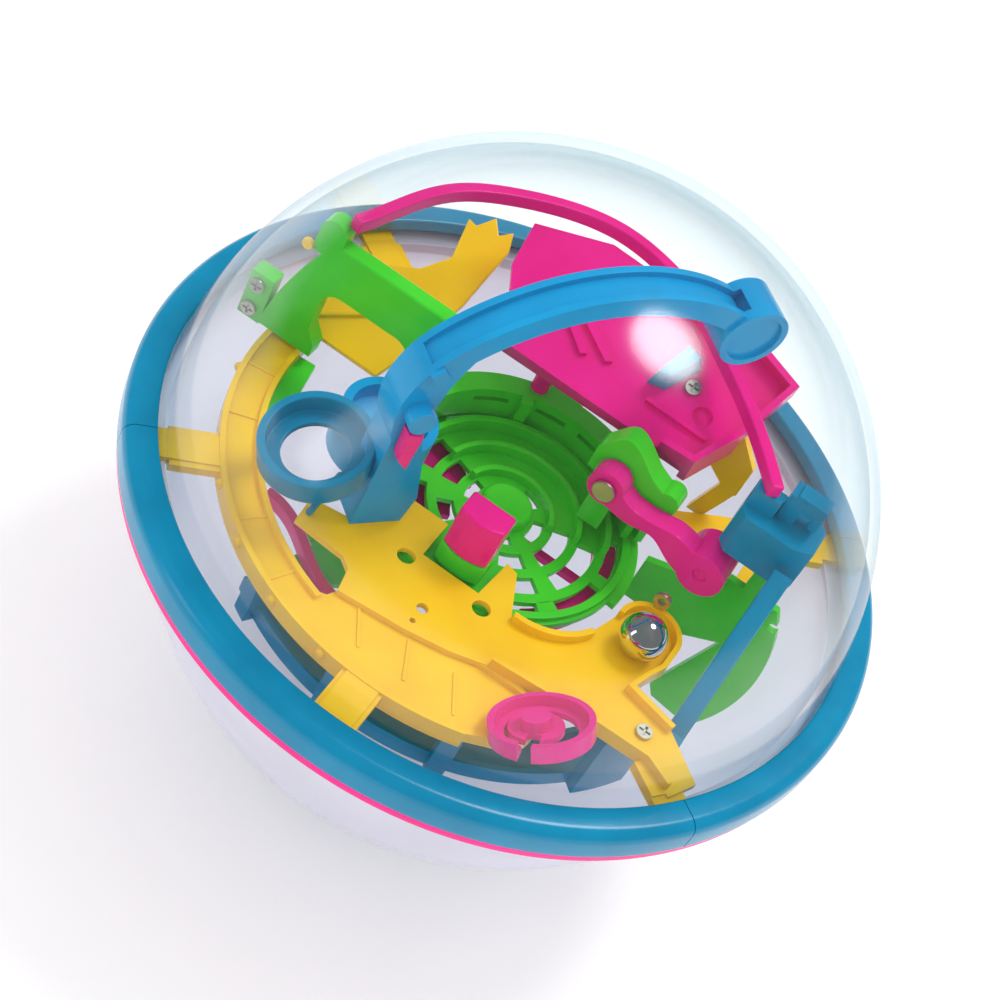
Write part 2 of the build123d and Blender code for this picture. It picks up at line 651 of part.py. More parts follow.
FIN_Y = 8.2
with BuildPart() as side_fin:
    with BuildSketch(Plane.XZ.offset(-FIN_Y - 1.5)):
        with BuildLine():
            Polyline((47.0, 6.0), (44.0, 6.0), (44.0, STAND_Z), (40.0, STAND_Z), (40.0, 6.0), (36.7, 6.0))
            Polyline((36.7, 6.0), (31.5, 1.0), (24.0, -1.6), (24.0, -11.3), (36.4, -11.3), (42.5, -7.7))
            Polyline((42.5, -7.7), (39.8, -16.7), (37.0, -26.0), (38.4, -28.4), (46.6, -29.6))
            ThreePointArc((46.6, -29.6), (51.4, -12.0), (47.0, 6.0))
        make_face()
        with Locations((48.0, 2.2), (46.4, -24.0)):
            Circle(1.0, mode=Mode.SUBTRACT)
    extrude(amount=1.5)
save(side_fin, "side_fin")

with BuildPart() as lower_track:
    with BuildSketch(Plane.XY.offset(LOWER_Z)):
        add(sector(36.5, 44.5, 232, 351))
    extrude(amount=FLOOR_T)
    with BuildSketch(Plane.XY.offset(LOWER_Z)):
        add(sector(43.5, 44.5, 232, 351))
        add(sector(36.5, 37.5, 232, 351))
    extrude(amount=3.4)
    for angle in (236, 262, 288):
        with BuildSketch(Plane.XY.offset(LOWER_Z)):
            add(sector(44.0, 46.5, angle, angle + 4))
        extrude(amount=-LOWER_Z - FLOOR_T)
    with BuildSketch(Plane.XY.offset(LOWER_Z)):
        add(sector(44.3, 46.6, -40, -27))
    extrude(amount=-LOWER_Z)
save(lower_track, "lower_track")

# ---- blue arch -------------------------------------------------------------------------------
arch_plane = upright(ARCH_TURN)
cs, cz = ARCH_CENTRE
mid_r = ARCH_R - ARCH_T / 2
cap_angle = 126.0
turn_angle = 46.0
cap_centre = (cs + mid_r * cos(radians(cap_angle)), cz + mid_r * sin(radians(cap_angle)))
FOOT = 31.6
CAP_R = 5.9
with BuildPart() as arch:
    with BuildSketch(arch_plane) as arch_side:
        with BuildLine():
            top = CenterArc((cs, cz), ARCH_R, cap_angle, turn_angle - cap_angle)
            bend = TangentArc(top @ 1, (FOOT, 22.0), tangent=top % 1)
            Polyline((FOOT, 22.0), (FOOT, FLOOR_T), (22.6, FLOOR_T), (21.6, 7.0), (24.0, 16.0))
            under = CenterArc((cs, cz), ARCH_R - ARCH_T, turn_angle + 2, cap_angle - turn_angle - 2)
            Spline((24.0, 16.0), (26.6, 25.0), under @ 0)
            Line(under @ 1, top @ 0)
        make_face()
    extrude(amount=ARCH_W / 2, both=True)
    with BuildSketch(arch_plane):
        with Locations((cap_centre[0] + 0.9, cap_centre[1] + 0.2)):
            Circle(CAP_R)
    extrude(amount=ARCH_W / 2 + 0.6, both=True)
    for side in (-1, 1):
        with BuildSketch(arch_plane.offset(side * (ARCH_W / 2 + 0.6))):
            with Locations((cap_centre[0] + 0.9, cap_centre[1] + 0.2)):
                Circle(CAP_R - 1.2)
        extrude(amount=-side * 0.7, mode=Mode.SUBTRACT)
    with BuildSketch(arch_plane):
        add(sector(ARCH_R - 1.0, ARCH_R + 1, turn_angle - 6, cap_angle - 6, ARCH_CENTRE))
    extrude(amount=ARCH_W / 2 - 1.3, both=True, mode=Mode.SUBTRACT)
    with BuildSketch(arch_plane.offset(-ARCH_W / 2)):
        with Locations((29.6, 29.0)):
            Circle(2.3)
    extrude(amount=-2.6)
    with BuildSketch(arch_plane.offset(-ARCH_W / 2)):
        with Locations((29.2, 37.6)):
            Rectangle(2.4, 2.4, rotation=-40)
    extrude(amount=-0.9)
    with BuildSketch(Plane.XY.offset(FLOOR_T)):
        with Locations((-17.6, -20.6)):
            Circle(3.6)
    extrude(amount=4.2)
    with BuildSketch(Plane.XY.offset(POD_LOW)):
        with Locations(POD_CENTRE):
            Circle(POD_R)
    extrude(amount=POD_H)
    with BuildSketch(Plane.XY.offset(POD_LOW + POD_H)):
        with Locations(POD_CENTRE):
            Circle(POD_R - 1.6)
    extrude(amount=-3.0, mode=Mode.SUBTRACT)
save(arch, "arch")

with BuildPart() as arch_clip:
    with BuildSketch(arch_plane.offset(-ARCH_W / 2)):
        add(outline((28.0, 25.6), (31.0, 26.4), (30.6, 20.0), (28.4, 17.6)))
    extrude(amount=-2.4)
save(arch_clip, "arch_clip")

hoop_plane = Plane(origin=(-27.2, -27.0, 10.4), x_dir=(1, -0.3, 0), z_dir=(-0.16, -0.22, 1))
with BuildPart() as hoop:
    with BuildSketch(hoop_plane):
        Ellipse(9.2, 9.4)
        Ellipse(7.8, 8.0, mode=Mode.SUBTRACT)
    extrude(amount=4.6)
    with BuildSketch(hoop_plane):
        Ellipse(9.2, 9.4)
        Ellipse(5.4, 5.6, mode=Mode.SUBTRACT)
    extrude(amount=1.2)
save(hoop, "hoop")

with BuildPart() as guide_rod:
    rod_start = Vector(-23.6, -29.6, FLOOR_T)
    rod_end = Vector(-21.8, -28.6, 12.0)
    with BuildSketch(Plane(origin=rod_start, z_dir=rod_end - rod_start)):
        Circle(0.6)
    extrude(amount=(rod_end - rod_start).length)
save(guide_rod, "guide_rod")

# ---- pink spiral cup at the end of the ring track --------------------------------------------
cup_plane = Plane(origin=(26.6, -42.0, 4.6), x_dir=(0.86, 0, 0.51), z_dir=(-0.50, 0.20, 0.84))
with BuildPart() as end_cup:
    with BuildSketch(cup_plane):
        Circle(8.3)
        Circle(5.7, mode=Mode.SUBTRACT)
        with Locations((-1.2, 0.6)):
            Circle(4.4)
        with Locations((-4.4, 2.6)):
            Rectangle(6, 4, rotation=-30)
    extrude(amount=1.0)
    with BuildSketch(cup_plane):
        Circle(8.3)
        Circle(7.2, mode=Mode.SUBTRACT)
        with Locations((-1.2, 0.6)):
            Circle(2.4)
    extrude(amount=2.8)
    with BuildSketch(cup_plane.offset(-0.2)):
        with Locations((0.6, -5.6)):
            Rectangle(2.2, 8, rotation=12)
    extrude(amount=3.4, mode=Mode.SUBTRACT)
save(end_cup, "end_cup")

# ---- pieces seen under the ring --------------------------------------------------------------
with BuildPart() as lower_rails:
    with BuildLine(Plane.XY.offset(-11.2)) as lower_path:
        Spline((-33.6, -20.6), (-27, -22.4), (-21, -27.0), (-12, -31.0))
    with BuildSketch(Plane(origin=lower_path.line @ 0, z_dir=lower_path.line % 0)):
        Rectangle(1.8, 2.6)
    sweep()
save(lower_rails, "lower_rails")

with BuildPart() as lower_leaf:
    with BuildSketch(Plane.XY.offset(-14.1)):
        add(outline(
            (-26.4, -17.4), (-18, -18.4), (-11.6, -18.6), (-10.4, -23.4), (-14, -25.4), (-20.0, -31.6),
            (-24.2, -29.8), (-22.4, -22.4), (-26, -20),
        ))
    extrude(amount=1.6)
save(lower_leaf, "lower_leaf")

with BuildPart() as side_flag:
    with BuildSketch(Plane.XY.offset(-FLOOR_T - 1.4)):
        add(outline((-46.0, 0.4), (-40.6, 1.0), (-37.6, -14.6), (-43.6, -16.2)))
    extrude(amount=1.4)
save(side_flag, "side_flag")

# ---- screws ----------------------------------------------------------------------------------
deck_screw = deck_plane.from_local_coords((14.2, 12.6, 0))
screw_planes = (
    Plane(origin=(39.4, -26.8, FLOOR_T), z_dir=(0, 0, 1)),
    Plane(origin=deck_screw, z_dir=deck_plane.z_dir),
    Plane(origin=(-54.9, BRIDGE_Y, 2.9), z_dir=(0, -1, 0)),
    Plane(origin=(-54.9, BRIDGE_Y, 8.3), z_dir=(0, -1, 0)),
)
with BuildPart() as screws:
    for seat in screw_planes:
        with BuildSketch(seat):
            Circle(1.4)
        extrude(amount=0.7)
        with BuildSketch(seat.offset(0.25)):
            Rectangle(2.0, 0.4)
            Rectangle(0.4, 2.0)
        extrude(amount=0.6, mode=Mode.SUBTRACT)
        with BuildSketch(seat.offset(-1.0)):
            Circle(0.7)
        extrude(amount=1.0)
save(screws, "screws")

with BuildPart() as pocket_eyelet:
    with BuildSketch(Plane.XZ.offset(3.5)):
        with Locations((30.2, 5.0)):
            Circle(1.5)
        with Locations((30.2, 3.5)):
            Rectangle(1.2, 1.0)
        with Locations((30.2, 5.0)):
            Circle(0.7, mode=Mode.SUBTRACT)
    extrude(amount=0.9)
save(pocket_eyelet, "pocket_eyelet")
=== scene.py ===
# %% [markdown]
# # A clear ball maze
#
# The object is a sphere of two clear domes, held together by a flat blue and magenta band.
# Inside it stands a course of brightly coloured plastic tracks, with one loose steel ball.
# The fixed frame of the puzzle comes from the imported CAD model. This lesson gives each piece
# its moulded edges and its plastic, and then lights it on a pale table.

import json
from math import radians

import bmesh
import bpy
import numpy as np
from mathutils import Matrix, Vector


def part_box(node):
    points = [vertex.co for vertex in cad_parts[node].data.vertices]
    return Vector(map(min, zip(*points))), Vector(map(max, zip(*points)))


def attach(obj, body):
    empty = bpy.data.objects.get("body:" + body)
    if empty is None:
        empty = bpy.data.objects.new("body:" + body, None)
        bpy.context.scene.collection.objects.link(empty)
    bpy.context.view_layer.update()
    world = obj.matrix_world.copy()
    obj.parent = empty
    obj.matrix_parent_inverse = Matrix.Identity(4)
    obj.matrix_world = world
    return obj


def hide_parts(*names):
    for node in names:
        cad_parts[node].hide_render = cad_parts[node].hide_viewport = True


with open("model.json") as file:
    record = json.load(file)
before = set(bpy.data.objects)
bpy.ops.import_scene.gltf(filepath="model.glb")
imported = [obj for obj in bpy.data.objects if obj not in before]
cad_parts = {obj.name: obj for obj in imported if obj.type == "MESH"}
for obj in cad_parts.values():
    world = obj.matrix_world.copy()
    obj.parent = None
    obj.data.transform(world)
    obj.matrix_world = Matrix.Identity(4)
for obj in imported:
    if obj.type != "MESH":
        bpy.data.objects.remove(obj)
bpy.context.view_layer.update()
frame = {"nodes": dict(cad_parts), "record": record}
scene = bpy.context.scene
MM = 0.001

# %% [markdown]
# ## Colour
#
# Plastic colours are easiest to choose as sRGB hex values, because that is what a colour picker
# shows. Shaders count in linear light, so one function turns the first into the second.

# %% Turn a hex colour into linear light


def linear(hex_colour):
    """Split a hex colour into three channels and undo the sRGB curve of each one."""
    channels = np.array([int(hex_colour[i:i + 2], 16) for i in (1, 3, 5)]) / 255
    low, high = channels / 12.92, ((channels + 0.055) / 1.055) ** 2.4
    return (*np.where(channels <= 0.04045, low, high), 1.0)


print("sRGB mid grey is", np.round(linear("#808080")[:3], 3), "in linear light")

# %% [markdown]
# ## A node at a time
#
# Every finish below is a small tree of shader nodes. One helper adds a node, fills its fields and
# sockets, and links what it reads, so that each material can be read from top to bottom.

# %% Helper that adds a shader node


def add_node(tree, kind, fields=(), sockets=(), links=()):
    """Make one node of a kind, set its fields and plain sockets, and link the sockets it reads."""
    node = tree.nodes.new("ShaderNode" + kind)
    for field, value in dict(fields).items():
        setattr(node, field, value)
    for socket, value in dict(sockets).items():
        node.inputs[socket].default_value = value
    for socket, source in dict(links).items():
        tree.links.new(source, node.inputs[socket])
    return node


def new_material(name):
    """Start a material with an empty tree and its output node."""
    material = bpy.data.materials.new(name)
    material.use_nodes = True
    material.node_tree.nodes.clear()
    return material, material.node_tree, add_node(material.node_tree, "OutputMaterial")


# %% [markdown]
# ## Moulded ABS
#
# The tracks are injection-moulded ABS. A polished mould gives a gloss, but not a mirror: the skin
# has a slight waviness a few hundredths of a millimetre high, like orange peel, and the colour is a
# little uneven where the plastic flowed. A plain glossy colour would miss both. Two noise patterns
# do it here: a wide one, about 12 mm, moves the colour, and a fine one, about 0.9 mm, moves the
# roughness and the bump. The level of the mirror shine is low, so that a white room around the
# puzzle doesn't wash out the deep colours.

# %% Gloss ABS in five colours, with a lighter copy of the blue as painted light
FLOW_MM, PEEL_MM, PEEL_DEPTH_MM = 12.0, 0.9, 0.05
PEEL_STRENGTH = 0.12
ABS_IOR, ABS_SHINE, ABS_ROUGHNESS = 1.53, 0.3, 0.2


def moulded_abs(name, colour, shade):
    """Mix two close colours by a wide noise, and vary the roughness and bump by a fine one."""
    material, tree, output = new_material(name)
    place = add_node(tree, "TexCoord").outputs["Object"]
    flow = add_node(tree, "TexNoise", sockets={"Scale": 1 / (FLOW_MM * MM), "Detail": 3.0},
                    links={"Vector": place})
    peel = add_node(tree, "TexNoise", sockets={"Scale": 1 / (PEEL_MM * MM), "Detail": 2.0},
                    links={"Vector": place})
    spread = add_node(tree, "MapRange", sockets={"From Min": 0.35, "From Max": 0.7},
                      links={"Value": flow.outputs["Fac"]})
    tint = add_node(tree, "Mix", fields={"data_type": "RGBA"},
                    sockets={6: linear(colour), 7: linear(shade)},
                    links={0: spread.outputs["Result"]})
    rough = add_node(tree, "MapRange",
                     sockets={"To Min": ABS_ROUGHNESS - 0.05, "To Max": ABS_ROUGHNESS + 0.08},
                     links={"Value": peel.outputs["Fac"]})
    bump = add_node(tree, "Bump", sockets={"Strength": PEEL_STRENGTH, "Distance": PEEL_DEPTH_MM * MM},
                    links={"Height": peel.outputs["Fac"]})
    skin = add_node(tree, "BsdfPrincipled", sockets={"IOR": ABS_IOR, "Specular IOR Level": ABS_SHINE},
                    links={"Base Color": tint.outputs[2], "Roughness": rough.outputs["Result"],
                           "Normal": bump.outputs["Normal"]})
    tree.links.new(skin.outputs["BSDF"], output.inputs["Surface"])
    return material


plastics = {
    "blue_abs": moulded_abs("blue_moulded_abs", "#0084AC", "#00789E"),
    # The sky blue slot is the same blue plastic painted lighter. It is painted light that brightens the
    # pieces taking this slot, where the clear dome dims the light that reaches them.
    "sky_blue_abs": moulded_abs("blue_moulded_abs_painted_lighter", "#009CD6", "#0090C8"),
    "magenta_abs": moulded_abs("magenta_moulded_abs", "#F0108C", "#E60480"),
    "pink_abs": moulded_abs("pink_moulded_abs", "#EE2090", "#E61884"),
    "green_abs": moulded_abs("green_moulded_abs", "#46D22A", "#36C61E"),
    "yellow_abs": moulded_abs("yellow_moulded_abs", "#FCC814", "#F6BC0A"),
}
print("ABS colours:", ", ".join(plastics))

# %% [markdown]
# ## Clear and milky polystyrene
#
# The domes are thin, clear polystyrene, polished inside and out. A wall this thin hardly bends
# what lies behind it, so full refraction would cost much and show little, and it would cut off the
# light that the tracks need. A mix does the work instead: rays pass straight through, tinted a
# little more where the wall is seen edge on, and a share that grows towards the edge is mirrored.
# The Fresnel node would turn the back of the wall black, so the share comes from the facing angle.
#
# The lower dome is milky. Its plastic is mixed from three parts: light that passes straight through,
# light that is scattered inside the wall and comes out on its far side, and a glossy pale skin. A
# skin alone would look like china, and the course would then stand in a dark bowl.

# %% Clear and milky dome plastic


CLEAR_MIRROR_FACE, CLEAR_MIRROR_EDGE, EDGE_POWER = 0.03, 0.5, 4.0
CLEAR_ROUGHNESS = 0.13
MILKY_IOR, MILKY_ROUGHNESS, CLOUD_MM = 1.59, 0.16, 25
MILKY_CLEARNESS, MILKY_SCATTER = 0.3, 0.45


def clear_polystyrene(name, face, edge):
    """Mix straight-through light with a mirror, whose share is 0.03 + 0.47 (1 - cosine)^4."""
    material, tree, output = new_material(name)
    facing = add_node(tree, "LayerWeight", sockets={"Blend": 0.5}).outputs["Facing"]
    steep = add_node(tree, "Math", fields={"operation": "POWER"},
                     sockets={1: EDGE_POWER}, links={0: facing})
    tint = add_node(tree, "Mix", fields={"data_type": "RGBA"},
                    sockets={6: linear(face), 7: linear(edge)}, links={0: steep.outputs["Value"]})
    through = add_node(tree, "BsdfTransparent", links={"Color": tint.outputs[2]})
    mirror = add_node(tree, "BsdfAnisotropic",
                      sockets={"Color": linear("#FFFFFF"), "Roughness": CLEAR_ROUGHNESS})
    share = add_node(tree, "MapRange",
                     sockets={"To Min": CLEAR_MIRROR_FACE, "To Max": CLEAR_MIRROR_EDGE},
                     links={"Value": steep.outputs["Value"]})
    both = add_node(tree, "MixShader", links={0: share.outputs["Result"], 1: through.outputs["BSDF"],
                                              2: mirror.outputs["BSDF"]})
    tree.links.new(both.outputs["Shader"], output.inputs["Surface"])
    return material


def milky_polystyrene(name, colour, shade):
    """Mix straight-through light, light scattered through the wall, and a glossy pale plastic."""
    material, tree, output = new_material(name)
    place = add_node(tree, "TexCoord").outputs["Object"]
    cloud = add_node(tree, "TexNoise", sockets={"Scale": 1 / (CLOUD_MM * MM), "Detail": 2.0},
                     links={"Vector": place})
    tint = add_node(tree, "Mix", fields={"data_type": "RGBA"},
                    sockets={6: linear(colour), 7: linear(shade)}, links={0: cloud.outputs["Fac"]})
    skin = add_node(tree, "BsdfPrincipled", sockets={"IOR": MILKY_IOR, "Roughness": MILKY_ROUGHNESS},
                    links={"Base Color": tint.outputs[2]})
    scattered = add_node(tree, "BsdfTranslucent", links={"Color": tint.outputs[2]})
    body = add_node(tree, "MixShader", sockets={0: MILKY_SCATTER},
                    links={1: skin.outputs["BSDF"], 2: scattered.outputs["BSDF"]})
    through = add_node(tree, "BsdfTransparent", sockets={"Color": linear("#FAF8FF")})
    both = add_node(tree, "MixShader", sockets={0: MILKY_CLEARNESS},
                    links={1: body.outputs["Shader"], 2: through.outputs["BSDF"]})
    tree.links.new(both.outputs["Shader"], output.inputs["Surface"])
    return material


plastics["clear_styrene"] = clear_polystyrene("clear_polystyrene", "#FCFEFE", "#C4DAE2")
plastics["frosted_styrene"] = milky_polystyrene("milky_polystyrene", "#F9F9FF", "#EFF0FA")
print("domes:", plastics["clear_styrene"].name, "and", plastics["frosted_styrene"].name)

# %% [markdown]
# ## Steel
#
# The ball is hardened bearing steel, lapped to a mirror. The screws, the pin and the little eyelet
# are zinc-plated, which is paler, warmer and much duller. Both are plain metal, and differ in their
# roughness and in how fine their scratches are.

# %% Bearing steel and zinc plate


def worked_steel(name, colour, gloss, scratch_mm):
    """Full metal, whose roughness runs from gloss to 2.2 gloss by a noise as wide as its scratches."""
    material, tree, output = new_material(name)
    place = add_node(tree, "TexCoord").outputs["Object"]
    marks = add_node(tree, "TexNoise", sockets={"Scale": 1 / (scratch_mm * MM), "Detail": 4.0},
                     links={"Vector": place})
    rough = add_node(tree, "MapRange", sockets={"To Min": gloss, "To Max": gloss * 2.2},
                     links={"Value": marks.outputs["Fac"]})
    skin = add_node(tree, "BsdfPrincipled", sockets={"Base Color": linear(colour), "Metallic": 1.0},
                    links={"Roughness": rough.outputs["Result"]})
    tree.links.new(skin.outputs["BSDF"], output.inputs["Surface"])
    return material


plastics["ball_steel"] = worked_steel("lapped_bearing_steel", "#DADCE0", 0.04, 1.5)
plastics["screw_steel"] = worked_steel("zinc_plated_steel", "#CFCABB", 0.24, 0.6)
print("metals:", plastics["ball_steel"].name, "and", plastics["screw_steel"].name)

# %% [markdown]
# ## Turned surfaces
#
# Domes, band and ball are all turned shapes: one closed outline carried round the vertical axis.
# The CAD model gives them as flat facets, which show in a polished dome as broken reflections. So
# they are worked out again as fine grids. The outline gives a radius and a height for each step,
# and the turn gives the angle, so one array product makes the whole surface at once.

# %% Carry an outline round an axis
MERGE_MM = 0.002
SHARP_DEG = 30


def mesh_piece(name, points, faces, material, body):
    """Put arrays of points and faces into a closed mesh on a new object that rides on a body."""
    mesh = bpy.data.meshes.new(name)
    mesh.from_pydata(points.reshape(-1, 3).tolist(), [], faces.reshape(-1, faces.shape[-1]).tolist())
    work = bmesh.new()
    work.from_mesh(mesh)
    bmesh.ops.remove_doubles(work, verts=work.verts, dist=MERGE_MM * MM)
    bmesh.ops.holes_fill(work, edges=[edge for edge in work.edges if edge.is_boundary])
    bmesh.ops.recalc_face_normals(work, faces=work.faces)
    work.to_mesh(mesh)
    work.free()
    mesh.shade_smooth()
    mesh.set_sharp_from_angle(angle=radians(SHARP_DEG))
    mesh.materials.append(material)
    piece = bpy.data.objects.new(name, mesh)
    scene.collection.objects.link(piece)
    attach(piece, body)
    return piece


def grid_faces(rows, columns, wrap_rows=False, wrap_columns=False):
    """Four corner numbers for each cell of a grid, joined to its start where it wraps."""
    row = np.arange(rows if wrap_rows else rows - 1)[:, None]
    column = np.arange(columns if wrap_columns else columns - 1)[None, :]
    next_row, next_column = (row + 1) % rows, (column + 1) % columns
    return np.stack([row * columns + column, row * columns + next_column,
                     next_row * columns + next_column, next_row * columns + column], axis=-1)


def turned(name, outline, material, body="globe", start=0.0, end=360.0, steps=180,
           centre=(0.0, 0.0, 0.0)):
    """Turn an outline of radius and height about Z: x = r cos a, y = r sin a, z = height."""
    whole = end - start >= 360
    angle = np.radians(np.linspace(start, end, steps, endpoint=not whole))[:, None]
    radius, height = np.asarray(outline).T[:, None, :]
    points = np.stack([radius * np.cos(angle), radius * np.sin(angle), height + 0 * angle], axis=-1)
    faces = grid_faces(steps, len(outline), wrap_rows=whole, wrap_columns=True)
    return mesh_piece(name, points + np.array(centre), faces, material, body)


def arc(radius, start, end, steps, centre=(0.0, 0.0)):
    """Points of an arc in the outline plane: (centre + r cos a, centre + r sin a)."""
    angle = np.radians(np.linspace(start, end, steps))
    return np.stack([centre[0] + radius * np.cos(angle), centre[1] + radius * np.sin(angle)], axis=-1)


# %% [markdown]
# ## The two domes
#
# Each dome is a half sphere with a wall of 1.8 mm and a small flange on its rim, which the band
# goes round. The upper one stays clear, and the lower one takes the milky plastic. Both would be
# injection-moulded in a polished steel mould. Changing the sign of the outline's heights makes the
# lower dome from the upper one.

# %% Domes as turned shells
SPHERE_R, DOME_WALL, RIM_R, RIM_TOP, RIM_GAP = 61 * MM, 1.8 * MM, 62.8 * MM, 1.5 * MM, 0.1 * MM
DOME_STEPS = 72
inner_r = SPHERE_R - DOME_WALL
rim_angle = np.degrees(np.arcsin(RIM_TOP / SPHERE_R))
gap_angle = np.degrees(np.arcsin(RIM_GAP / inner_r))
dome_outline = np.vstack([
    [[RIM_R, RIM_GAP], [RIM_R, RIM_TOP]],
    arc(SPHERE_R, rim_angle, 90, DOME_STEPS),
    arc(inner_r, 90, gap_angle, DOME_STEPS),
])
for name, side, slot in (("upper_dome", 1, "clear_styrene"), ("lower_dome", -1, "frosted_styrene")):
    dome = turned(f"{name}_shell", dome_outline * (1, side), plastics[slot])
    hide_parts(name)
    print(dome.name, len(dome.data.polygons), "faces")

# %% [markdown]
# ## The band
#
# The band is four blue segments with a hairline joint between them, over one magenta ring. Its top
# edge is rounded wide, its lower edge less. The rounds are real arcs in the outline, since they
# carry the long highlight that shows the band's shape.

# %% Band segments and the ring under them
BAND_IN, BAND_R, BAND_TOP, BAND_STEP = 61.05 * MM, 66.5 * MM, 4.0 * MM, -2.0 * MM
GROOVE_R, GROOVE_TOP, LOWER_R, BAND_BOTTOM = 62.9 * MM, 1.6 * MM, 66.1 * MM, -4.0 * MM
TOP_ROUND, LOW_ROUND, RING_ROUND, INNER_ROUND = 2.2 * MM, 0.7 * MM, 0.8 * MM, 0.5 * MM
band_outline = np.vstack([
    [[GROOVE_R, BAND_STEP]],
    arc(LOW_ROUND, -90, 0, 6, (BAND_R - LOW_ROUND, BAND_STEP + LOW_ROUND)),
    arc(TOP_ROUND, 0, 90, 14, (BAND_R - TOP_ROUND, BAND_TOP - TOP_ROUND)),
    arc(INNER_ROUND, 90, 180, 5, (BAND_IN + INNER_ROUND, BAND_TOP - INNER_ROUND)),
    [[BAND_IN, GROOVE_TOP], [GROOVE_R, GROOVE_TOP]],
])
ring_outline = np.vstack([
    [[BAND_IN, BAND_BOTTOM]],
    arc(RING_ROUND, -90, 0, 6, (LOWER_R - RING_ROUND, BAND_BOTTOM + RING_ROUND)),
    [[LOWER_R, BAND_STEP], [GROOVE_R, BAND_STEP], [GROOVE_R, -GROOVE_TOP], [BAND_IN, -GROOVE_TOP]],
])
ARM_ANGLE = 35.5
SEAM_DEG = 0.07
SEGMENT_STEPS, RING_STEPS = 90, 300
band_names = ("band_right", "band_back", "band_left", "band_front")
seams = (-ARM_ANGLE, ARM_ANGLE, 180 - ARM_ANGLE, 180 + ARM_ANGLE, 360 - ARM_ANGLE)
for name, first, last in zip(band_names, seams, seams[1:]):
    segment = turned(f"{name}_moulded", band_outline, plastics["blue_abs"],
                     start=first + SEAM_DEG, end=last - SEAM_DEG, steps=SEGMENT_STEPS)
    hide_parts(name)
lower_ring = turned("lower_band_moulded", ring_outline, plastics["magenta_abs"],
                    steps=RING_STEPS)
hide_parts("lower_band")
print("band outline has", len(band_outline), "points")

# %% [markdown]
# ## The steel ball
#
# The ball is a true 8 mm sphere, so its outline is a half circle, turned about its own centre.

# %% Steel ball
OUTLINE_POINTS, TURN_STEPS = 49, 96
ball_low, ball_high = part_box("steel_ball")
ball_centre = (np.array(ball_low) + np.array(ball_high)) / 2
ball_r = (ball_high[2] - ball_low[2]) / 2
ball = turned("steel_ball_lapped", arc(ball_r, -90, 90, OUTLINE_POINTS), plastics["ball_steel"],
              body="ball", steps=TURN_STEPS, centre=ball_centre)
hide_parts("steel_ball")
print("ball of", round(2 * ball_r / MM, 2), "mm")

# %% [markdown]
# ## Moulded edges
#
# No moulded edge is a knife edge: the tool leaves a round of a quarter of a millimetre or so, and
# that is what catches the light. A copy of each CAD piece has its loose triangles merged into whole
# faces, and a bevel then rounds only its sharp edges. Weighted normals keep the big faces flat.

# %% Rounded copies of the tracks, towers and screws
finish_of = {entry["node"]: entry["material_slot"] for entry in frame["record"]["subparts"]}
TURNED = {"upper_dome", "lower_dome", "band_right", "band_back", "band_left", "band_front",
          "lower_band", "steel_ball"}
EDGE_ROUND = {"screws": 0.08, "pocket_eyelet": 0.1, "lever_pin": 0.2, "bridge_pin": 0.15}
DEFAULT_ROUND = 0.28
FLAT_DEG, EDGE_DEG = 1, 35


def moulded_copy(node, round_mm):
    """Copy a CAD node, merge its triangles to flat faces and bevel the edges over 35 degrees."""
    mesh = frame["nodes"][node].data.copy()
    work = bmesh.new()
    work.from_mesh(mesh)
    bmesh.ops.remove_doubles(work, verts=work.verts, dist=MERGE_MM * MM)
    bmesh.ops.dissolve_limit(work, angle_limit=radians(FLAT_DEG), verts=work.verts, edges=work.edges)
    work.to_mesh(mesh)
    work.free()
    mesh.shade_smooth()
    mesh.materials.clear()
    mesh.materials.append(plastics[finish_of[node]])
    piece = bpy.data.objects.new(f"{node}_moulded", mesh)
    scene.collection.objects.link(piece)
    bevel = piece.modifiers.new("moulded edge", "BEVEL")
    bevel.width = round_mm * MM
    bevel.segments = 2
    bevel.limit_method = "ANGLE"
    bevel.angle_limit = radians(EDGE_DEG)
    normals = piece.modifiers.new("flat faces", "WEIGHTED_NORMAL")
    normals.keep_sharp = True
    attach(piece, "lever" if node == "lever" else "globe")
    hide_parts(node)
    return piece


for node in sorted(set(frame["nodes"]) - TURNED):
    moulded_copy(node, EDGE_ROUND.get(node, DEFAULT_ROUND))
print("rounded pieces:", len(frame["nodes"]) - len(TURNED))

# %% [markdown]
# ## Small stops on the ring track
#
# The ring track's outer skirt carries eight small round stops. They would be moulded in one piece
# with the track. They are too small for the CAD model, and are set here in two rows, four of them
# 14 degrees apart and four 13 degrees apart. Each is a half ball on the skirt, so one grid is
# copied to every angle in a single array sum.

# %% Stops as copies of one half ball
TRACK_OUT, SKIRT_SINK, STOP_DROP = 50.5 * MM, 0.1 * MM, 0.4 * MM
STOP_R = 0.9 * MM
STOP_STEPS = 9
ROW_LEFT, ROW_FRONT = np.arange(150, 206, 14), np.arange(222, 262, 13)
stop_angles = np.radians(np.concatenate([ROW_LEFT, ROW_FRONT]))
climb = np.radians(np.linspace(0, 90, STOP_STEPS))[:, None]
round_about = np.radians(np.linspace(0, 360, 2 * STOP_STEPS, endpoint=False))[None, :]
proud = STOP_R * np.sin(climb) + 0 * round_about
across = STOP_R * np.cos(climb) * np.cos(round_about)
upward = STOP_R * np.cos(climb) * np.sin(round_about)
local = np.stack([proud, across, upward], axis=-1).reshape(-1, 3)
outward = np.stack([np.cos(stop_angles), np.sin(stop_angles), 0 * stop_angles], axis=-1)
sideways = np.stack([-np.sin(stop_angles), np.cos(stop_angles), 0 * stop_angles], axis=-1)
stop_points = ((TRACK_OUT - SKIRT_SINK + local[None, :, :1]) * outward[:, None]
               + local[None, :, 1:2] * sideways[:, None]
               + np.array([0, 0, 1]) * (local[None, :, 2:] - STOP_DROP))
